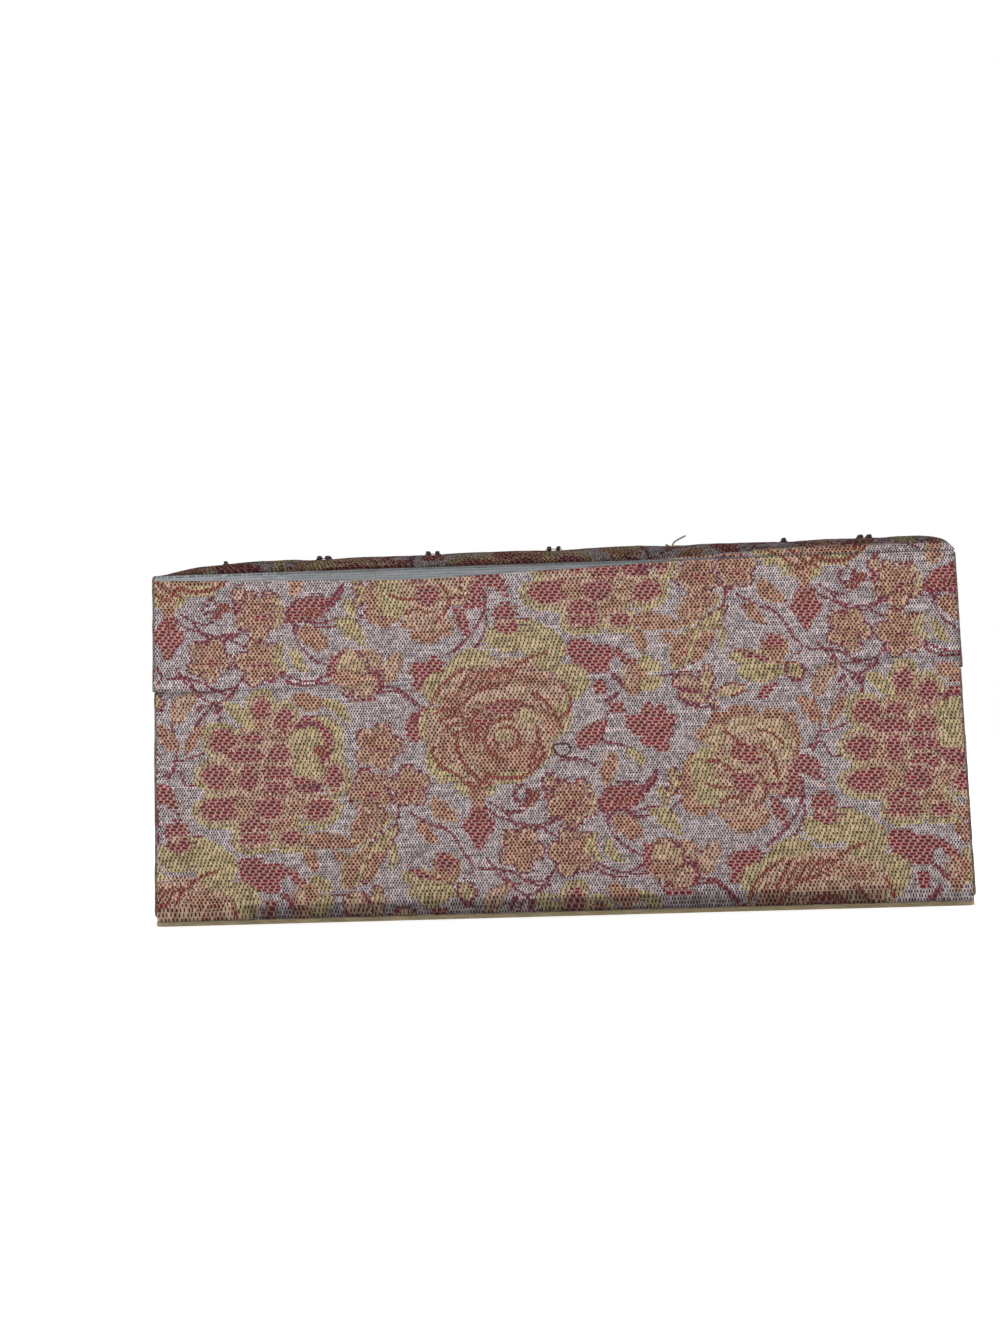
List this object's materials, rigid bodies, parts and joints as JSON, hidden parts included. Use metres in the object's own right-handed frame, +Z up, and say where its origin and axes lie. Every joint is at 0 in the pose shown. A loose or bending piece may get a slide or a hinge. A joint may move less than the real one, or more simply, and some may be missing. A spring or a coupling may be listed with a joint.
{
  "type": "hinged keepsake box",
  "caption": "Rectangular hinged keepsake box covered in floral brocade, with a padded lid tufted with small glass beads.",
  "frame": {"origin": "centre of the underside, where the box stands on a table", "axes": "+X along the width, +Y towards the hinged back, +Z up"},
  "size_m": [0.231, 0.1513, 0.1095],
  "materials": {
    "brocade": "jacquard floral brocade",
    "silver_band": "plain silver-grey satin",
    "gold_satin": "pale gold satin",
    "lining_satin": "champagne gold satin",
    "greyboard": "raw pressed greyboard",
    "lining_card": "uncoated card",
    "kraft_tape": "gummed paper tape",
    "wadding": "polyester wadding",
    "garnet_glass": "glossy dark red glass",
    "red_thread": "twisted sewing thread",
    "grey_thread": "twisted sewing thread"
  },
  "bodies": {
    "base": {"base_back_board": "greyboard", "base_back_cloth": "brocade", "base_back_lining_card": "lining_card", "base_back_lining_satin": "lining_satin", "base_closing_board": "greyboard", "base_corner_tapes": "kraft_tape", "base_front_board": "greyboard", "base_front_lining_card": "lining_card", "base_front_lining_satin": "lining_satin", "base_inner_hinge": "lining_satin", "base_left_board": "greyboard", "base_left_lining_card": "lining_card", "base_left_lining_satin": "lining_satin", "base_pad_card": "lining_card", "base_pad_satin": "lining_satin", "base_pad_wadding": "wadding", "base_right_board": "greyboard", "base_right_lining_card": "lining_card", "base_right_lining_satin": "lining_satin", "base_wrap_cloth": "brocade", "bottom_panel_card": "lining_card", "bottom_panel_satin": "gold_satin", "thread_loop": "red_thread"},
    "lid": {"bead_stitches": "red_thread", "lid_back_board": "greyboard", "lid_back_cloth": "brocade", "lid_back_lining_card": "lining_card", "lid_back_lining_satin": "lining_satin", "lid_closing_board": "greyboard", "lid_corner_tapes": "kraft_tape", "lid_edge_band": "silver_band", "lid_front_board": "greyboard", "lid_front_lining_card": "lining_card", "lid_front_lining_satin": "lining_satin", "lid_inner_hinge": "lining_satin", "lid_left_board": "greyboard", "lid_left_lining_card": "lining_card", "lid_left_lining_satin": "lining_satin", "lid_pad_card": "lining_card", "lid_pad_satin": "lining_satin", "lid_pad_wadding": "wadding", "lid_right_board": "greyboard", "lid_right_lining_card": "lining_card", "lid_right_lining_satin": "lining_satin", "lid_top_cloth": "brocade", "lid_wadding": "wadding", "lid_wrap_cloth": "brocade", "loose_thread": "grey_thread", "seed_beads": "garnet_glass"}
  },
  "joints": [
    {"name": "lid_hinge", "type": "hinge", "parent": "base", "child": "lid", "pos_m": [0, 0.075, 0.066], "axis": [-1, 0, 0], "range_deg": [0, 175]}
  ]
}
